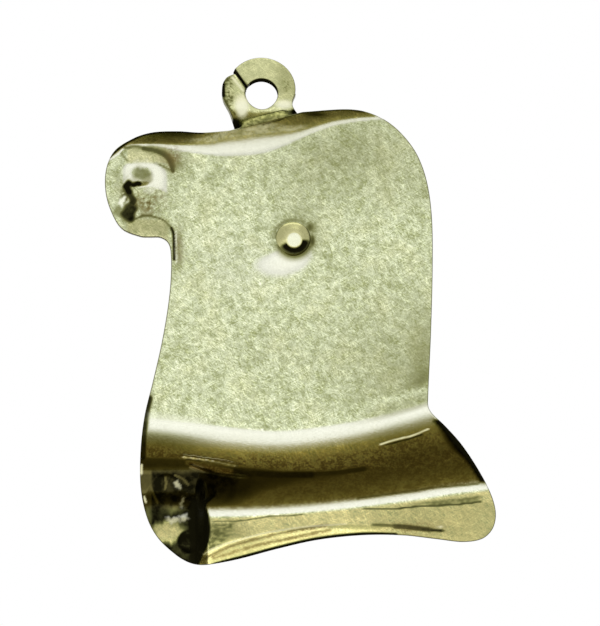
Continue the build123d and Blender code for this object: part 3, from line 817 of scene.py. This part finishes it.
def loop_tarnish(x, y, z):
    """Painted shade: dark walls of the hole and the prong, the shaded sides and corners of the neck; and a mottled band
    on the prong.
    """
    up = y * math.sin(lean) + z * math.cos(lean)
    prong_foot = [(-1.90, -0.25), (-1.78, -0.50), (-1.58, -0.80), (-1.35, -1.02)]
    return most(
        0.30 * below(z - seam_z(x), 0.62, 0.35),
        0.20 * above(x, 0.7, 0.6) * above(z, -0.5, 0.5),
        0.70 * mottled(1.6 * x, 1.6 * z) * below(x, -1.38, 0.15) * above(z, -0.9, 0.4),
        0.98 * below(x, -1.88, 0.04) * above(z, -0.30, 0.2),
        0.70 * stroke(prong_foot, x, z, 0.05),
        0.97 * below(x, -0.98, 0.25) * below(z, -1.12, 0.2),
        0.90 * above(x, 1.35, 0.3) * below(z, -0.60, 0.2),
        0.22 * spot(x, z, 0.15, -1.02, 0.70, 0.20),
        0.98 * below(np.hypot(x, up), hole_wall_radius, 0.02) * above(up, -0.15, 0.3))


def loop_bright(x, y, z):
    """Painted highlights under the hole and on the prong, and a painted glint along its cut end."""
    shine = most(
        0.9 * patch(x, z, -1.02, -0.62, 0.34, 0.55),
        0.8 * patch(x, z, 1.15, -0.50, 0.42, 0.22),
        0.6 * stroke([(-1.50, 0.88), (-0.95, 0.18)], x, z, 0.07))
    return shine * below(y - loop_y(x, z) + prong_set(x, z), 0.30, 0.15)


mark(loop, warm=loop_warm, tarnish=loop_tarnish, bright=loop_bright)
loop_brass = brass("loop_brass", (0.525, 0.545, 0.330), (0.505, 0.500, 0.248), 0.7, 0.24)
loop.data.materials.append(loop_brass)
loop.data.materials.append(shaded_edge_brass)
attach(loop, "charm")
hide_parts("hanging_loop")

# Free arm of the loop: the other half of the ring, from its root on the right over the top to the slit.
# It is the same strip of brass, and it is what bends when the loop is opened.
arc_centre = np.array((-0.004, 0.268))
arc_radius = 1.750
root_gap = 0.002
outer_start = math.atan2(1.38 - arc_centre[1], -1.36 - arc_centre[0])
outer_end = math.atan2(root_gap - arc_centre[1], math.sqrt(arc_radius ** 2 - (root_gap - arc_centre[1]) ** 2))
outer = turn(arc_radius, outer_start, outer_end, 0.06) + arc_centre
jaw_edge = np.concatenate([turn(hole_radius, root_gap, jaw_hole, 0.05), outer])


def from_slit(x, up):
    """How far a point of the arm is from its cut end."""
    return (x - jaw_line[0]) * slit_across[0] + (up - jaw_line[1]) * slit_across[1]


def front_of_jaw(x, up):
    """Points on the front of the arm, which lies flat in the leaning ring."""
    return on_loop(x, up, 0.0)


def back_of_jaw(x, up):
    """Points on the back of the arm, its cut end slanting a little towards the prong."""
    slant = 0.12 * below(from_slit(x, up), 0.40, 0.40)
    return on_loop(x - slant * slit_across[0], up - slant * slit_across[1], loop_depth)


def jaw_tarnish(x, y, z):
    """Painted shade on the wall of the hole and the cut end, and an uneven stain at the right."""
    up = y * math.sin(lean) + z * math.cos(lean)
    return most(
        (0.26 + 0.52 * mottled(1.2 * x, 1.2 * z)) * spot(x, z, 1.24, 0.45, 0.30, 0.50),
        0.26 * above(x, 0.5, 0.6),
        0.98 * below(np.hypot(x, up), hole_wall_radius, 0.02),
        0.98 * below(from_slit(x, up), 0.03, 0.03) * below(x, -0.5, 0.1))


jaw = formed_sheet("loop_jaw.arm", jaw_edge, loop_columns, loop_rows, loop_thickness,
                   front_of_jaw, back_of_jaw, loop_rim, at_root)
mark(jaw, warm=loop_warm, tarnish=jaw_tarnish)
jaw.data.materials.append(loop_brass)
jaw.data.materials.append(shaded_edge_brass)
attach(jaw, "jaw")
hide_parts("loop_jaw")

# Solder: a fillet of soft metal, run along the flange's cut edge and up the front of the neck.
# It holds the loop to the scroll, thins out to both sides, and has gone dull and olive with the neck.
solder_left, solder_right = -1.30, 1.88
solder_overlap, solder_film = 0.05, 0.008
bm = bmesh.new()
rings = []
for x in np.linspace(solder_left, solder_right, 40):
    bottom = seam_z(x) - solder_overlap
    rise = 0.08 + 0.36 * float(above(x, solder_left, 0.4) * below(x, solder_right, 0.9))
    foot = float(scroll_y(np.array([x]), np.array([bottom]))[0]) - solder_film
    top = float(loop_y(np.array([x]), np.array([bottom + rise]))[0]) - solder_film
    section = [(foot + (top - foot) * t ** 1.3, bottom + rise * t ** 0.8) for t in np.linspace(0, 1, 9)]
    section += [(top + 0.06, bottom + 0.7 * rise), (foot + 0.30, bottom + 0.01)]
    ring = [bm.verts.new((x, y, z)) for y, z in section]
    rings.append([bm.edges.new((ring[k - 1], ring[k])) for k in range(len(ring))])
for left, right in zip(rings, rings[1:]):
    bmesh.ops.bridge_loops(bm, edges=left + right)
bmesh.ops.holes_fill(bm, edges=rings[0] + rings[-1], sides=0)
bmesh.ops.recalc_face_normals(bm, faces=bm.faces[:])
solder = finished("solder_seam.fillet", bm)


def solder_tarnish(x, y, z):
    """Olive and uneven, darker to the left and right."""
    return 0.46 + 0.20 * mottled(1.3 * x, 1.3 * z) + 0.20 * above(x, 0.9, 0.6) + 0.25 * below(x, -0.9, 0.3)


mark(solder, warm=lambda x, y, z: 1 + 0 * x, tarnish=solder_tarnish)
solder.data.materials.append(brass("solder_metal", (0.58, 0.56, 0.30), (0.540, 0.510, 0.220), 0.9, 0.28))
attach(solder, "charm")
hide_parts("solder_seam")

# Studio: the white room that the photographed charm stands in, in metres, with nothing fixed to the charm.
# The metal mirrors three shaded cards, a dark one below it and one at each side, and two soft boxes.
# A pale floor lies far below, where it gives a little light and no shadow is seen.
middle = Vector((0.00198, 0.0, -0.011205))


def flat_card(name, corners):
    """A flat card with four corners."""
    mesh = bpy.data.meshes.new(name)
    mesh.from_pydata(corners, [], [(0, 1, 2, 3)])
    made = bpy.data.objects.new(name, mesh)
    bpy.context.scene.collection.objects.link(made)
    return made


def board(name, corners, near, far, start, end):
    """A card seen only in reflections, shaded from its near to its far colour between two places along Y."""
    card = flat_card(name, corners)
    material = bpy.data.materials.new(name)
    material.use_nodes = True
    tree = material.node_tree
    tree.nodes.clear()
    coords, split, span, mix, glow, out = [tree.nodes.new("ShaderNode" + kind) for kind in (
        "TexCoord", "SeparateXYZ", "MapRange", "Mix", "Emission", "OutputMaterial")]
    mix.data_type = "RGBA"
    span.inputs["From Min"].default_value = start
    span.inputs["From Max"].default_value = end
    mix.inputs[6].default_value = (*near, 1)
    mix.inputs[7].default_value = (*far, 1)
    tree.links.new(coords.outputs["Object"], split.inputs[0])
    tree.links.new(split.outputs["Y"], span.inputs["Value"])
    tree.links.new(span.outputs[0], mix.inputs[0])
    tree.links.new(mix.outputs[2], glow.inputs["Color"])
    tree.links.new(glow.outputs[0], out.inputs["Surface"])
    card.data.materials.append(material)
    card.visible_camera = False
    card.visible_shadow = False
    card.visible_diffuse = False


def lamp(name, elevation, width, height, radiance, distance=0.35):
    """A soft box in front of the charm at an elevation in degrees, as bright as radiance."""
    light = bpy.data.lights.new(name, "AREA")
    light.shape = "RECTANGLE"
    light.size, light.size_y = width, height
    light.energy = radiance * math.pi * width * height
    made = bpy.data.objects.new(name, light)
    up = math.radians(elevation)
    aim = Vector((0, -math.cos(up), math.sin(up)))
    made.location = middle + aim * distance
    made.rotation_mode = "QUATERNION"
    made.rotation_quaternion = aim.to_track_quat("Z", "Y")
    made.visible_camera = False
    bpy.context.scene.collection.objects.link(made)


board("board_below", [(-0.4, -0.26, -0.20), (0.4, -0.26, -0.20), (0.4, 0.30, -0.20), (-0.4, 0.30, -0.20)],
      (0.54, 0.49, 0.215), (0.095, 0.070, 0.026), -0.26, 0.02)
for name, x, near, far in (("board_right", 0.32, (0.22, 0.22, 0.15), (0.10, 0.10, 0.07)),
                           ("board_left", -0.32, (0.60, 0.62, 0.48), (0.35, 0.36, 0.26))):
    board(name, [(x, -0.20, -0.20), (x, 0.04, -0.20), (x, 0.04, 0.30), (x, -0.20, 0.30)], near, far, -0.20, 0.0)
lamp("strip", -22, 0.60, 0.17, 0.48)
lamp("overhead", 70, 0.34, 0.19, 1.3)

floor = flat_card("floor", [(-0.8, -0.8, -0.30), (0.8, -0.8, -0.30), (0.8, 0.8, -0.30), (-0.8, 0.8, -0.30)])
floor_paint = bpy.data.materials.new("floor_paint")
floor_paint.use_nodes = True
floor_paint.node_tree.nodes["Principled BSDF"].inputs["Base Color"].default_value = (0.86, 0.86, 0.85, 1)
floor_paint.node_tree.nodes["Principled BSDF"].inputs["Roughness"].default_value = 0.7
floor.data.materials.append(floor_paint)

world = bpy.data.worlds.new("studio")
bpy.context.scene.world = world
world.use_nodes = True
world.node_tree.nodes["Background"].inputs["Color"].default_value = (1, 1, 1, 1)
world.node_tree.nodes["Background"].inputs["Strength"].default_value = 1.0

# Camera: almost level with the charm's middle, a little to its left and a little below.
# Its long lens stands so far off that the charm fills the picture as it does in the photograph.
picture_width = 0.03077
camera_data = bpy.data.cameras.new("camera")
camera_data.sensor_fit = "HORIZONTAL"
camera_data.sensor_width = 36.0
camera_data.lens = 290.0
camera = bpy.data.objects.new("camera", camera_data)
bpy.context.scene.collection.objects.link(camera)
side, height = math.radians(-2.0), math.radians(-3.0)
back = Vector((math.sin(side) * math.cos(height), -math.cos(side) * math.cos(height), math.sin(height)))
camera.location = middle + back * (camera_data.lens * picture_width / camera_data.sensor_width)
camera.rotation_mode = "QUATERNION"
camera.rotation_quaternion = (-back).to_track_quat("-Z", "Y")
camera_data.clip_start, camera_data.clip_end = 0.01, 10.0
bpy.context.scene.camera = camera
bpy.context.scene.view_settings.view_transform = "Standard"
